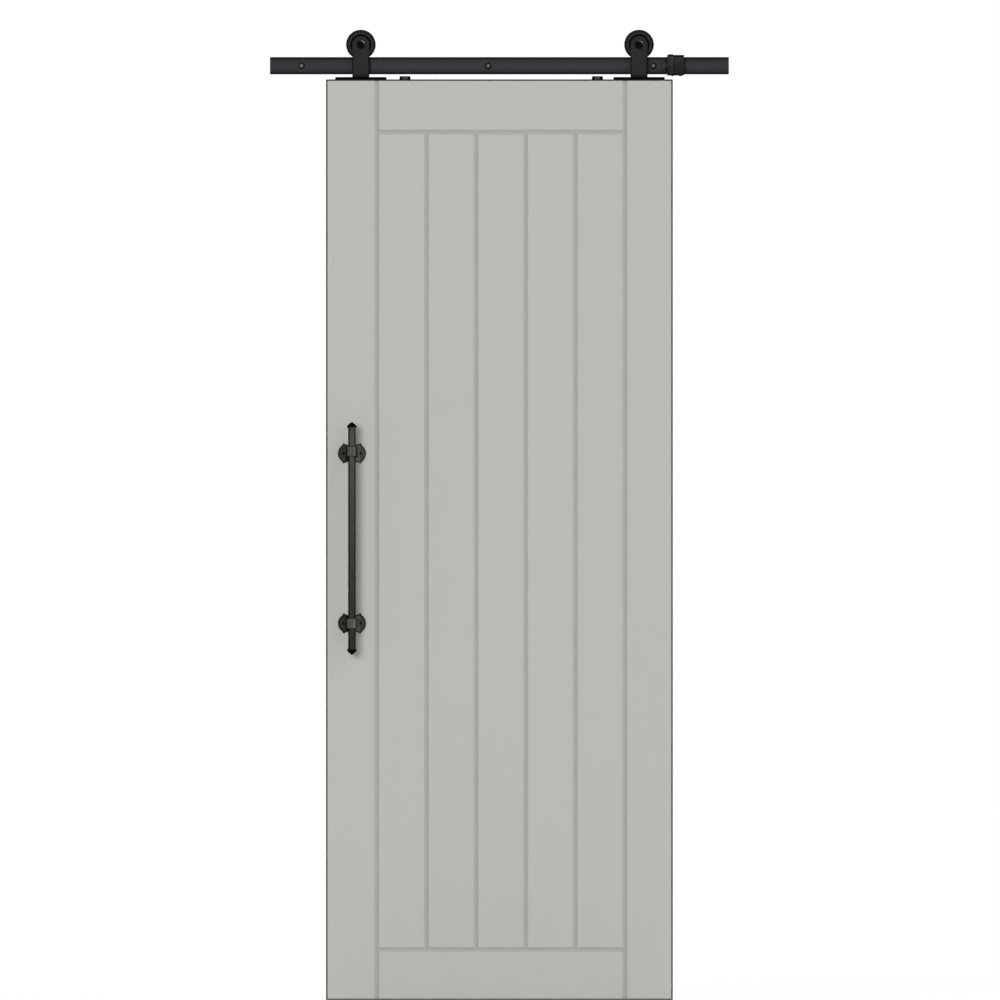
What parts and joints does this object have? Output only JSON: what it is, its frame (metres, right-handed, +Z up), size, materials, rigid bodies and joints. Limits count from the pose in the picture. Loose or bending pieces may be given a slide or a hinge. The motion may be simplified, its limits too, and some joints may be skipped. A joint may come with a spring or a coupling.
{
  "type": "sliding barn door",
  "caption": "Painted plank barn door with dark edging that slides on a flat wall rail by roller hangers, with an end stop and a square forged pull handle.",
  "frame": {"origin": "the point on the wall's surface where the middle rail bolt goes in", "axes": "+X along the rail to the right as seen from the front, +Y back into the wall, +Z up"},
  "size_m": [1.064, 0.173, 2.2493],
  "materials": {
    "leaf_paint": "light grey paint, matt",
    "edge_band": "dark grey edging, matt",
    "dowel_wood": "bare beech",
    "rail_coat": "dark powder coat, fine texture",
    "black_coat": "black powder coat, satin",
    "buffer_rubber": "black rubber",
    "wheel_nylon": "black nylon, satin",
    "bearing_steel": "bright steel",
    "forged_iron": "hammered dark iron, waxed"
  },
  "bodies": {
    "track": {"rail": "rail_coat", "rail_spacers": "black_coat", "rail_bolts": "black_coat", "stop_clamp": "black_coat", "stop_buffers": "buffer_rubber", "stop_set_screws": "black_coat"},
    "door": {"left_stile": "leaf_paint", "right_stile": "leaf_paint", "top_rail": "leaf_paint", "bottom_rail": "leaf_paint", "plank_1": "leaf_paint", "plank_2": "leaf_paint", "plank_3": "leaf_paint", "plank_4": "leaf_paint", "plank_5": "leaf_paint", "frame_dowels": "dowel_wood", "left_band": "edge_band", "right_band": "edge_band", "top_band": "edge_band", "bottom_band": "edge_band", "left_hanger": "black_coat", "right_hanger": "black_coat", "hanger_screws": "black_coat", "axle_bolts": "black_coat", "axle_bushes": "bearing_steel", "axle_nuts": "bearing_steel", "left_inner_ring": "bearing_steel", "right_inner_ring": "bearing_steel", "left_disc": "wheel_nylon", "right_disc": "wheel_nylon", "disc_screws": "black_coat", "handle_bar": "forged_iron", "upper_finial": "forged_iron", "lower_finial": "forged_iron", "upper_bracket": "forged_iron", "lower_bracket": "forged_iron", "handle_screws": "black_coat"},
    "left_wheel": {"left_wheel": "wheel_nylon", "left_outer_ring": "bearing_steel", "left_shields": "bearing_steel"},
    "right_wheel": {"right_wheel": "wheel_nylon", "right_outer_ring": "bearing_steel", "right_shields": "bearing_steel"},
    "left_ball_set": {"left_balls": "bearing_steel"},
    "right_ball_set": {"right_balls": "bearing_steel"}
  },
  "joints": [
    {"name": "door_slide", "type": "slide", "parent": "track", "child": "door", "axis": [1, 0, 0], "range_m": [-0.175, 0.0412]},
    {"name": "left_wheel_spin", "type": "hinge", "parent": "door", "child": "left_wheel", "pos_m": [-0.29525, -0.038, 0.049], "axis": [0, 1, 0], "continuous": true},
    {"name": "right_wheel_spin", "type": "hinge", "parent": "door", "child": "right_wheel", "pos_m": [0.34975, -0.038, 0.049], "axis": [0, 1, 0], "continuous": true},
    {"name": "left_ball_roll", "type": "hinge", "parent": "door", "child": "left_ball_set", "pos_m": [-0.29525, -0.038, 0.049], "axis": [0, 1, 0], "continuous": true},
    {"name": "right_ball_roll", "type": "hinge", "parent": "door", "child": "right_ball_set", "pos_m": [0.34975, -0.038, 0.049], "axis": [0, 1, 0], "continuous": true}
  ],
  "couplings": [
    {"joint": "left_wheel_spin", "follows": "door_slide", "rad_per_m": 34.843},
    {"joint": "right_wheel_spin", "follows": "door_slide", "rad_per_m": 34.843},
    {"joint": "left_ball_roll", "follows": "door_slide", "rad_per_m": 22.067},
    {"joint": "right_ball_roll", "follows": "door_slide", "rad_per_m": 22.067}
  ]
}
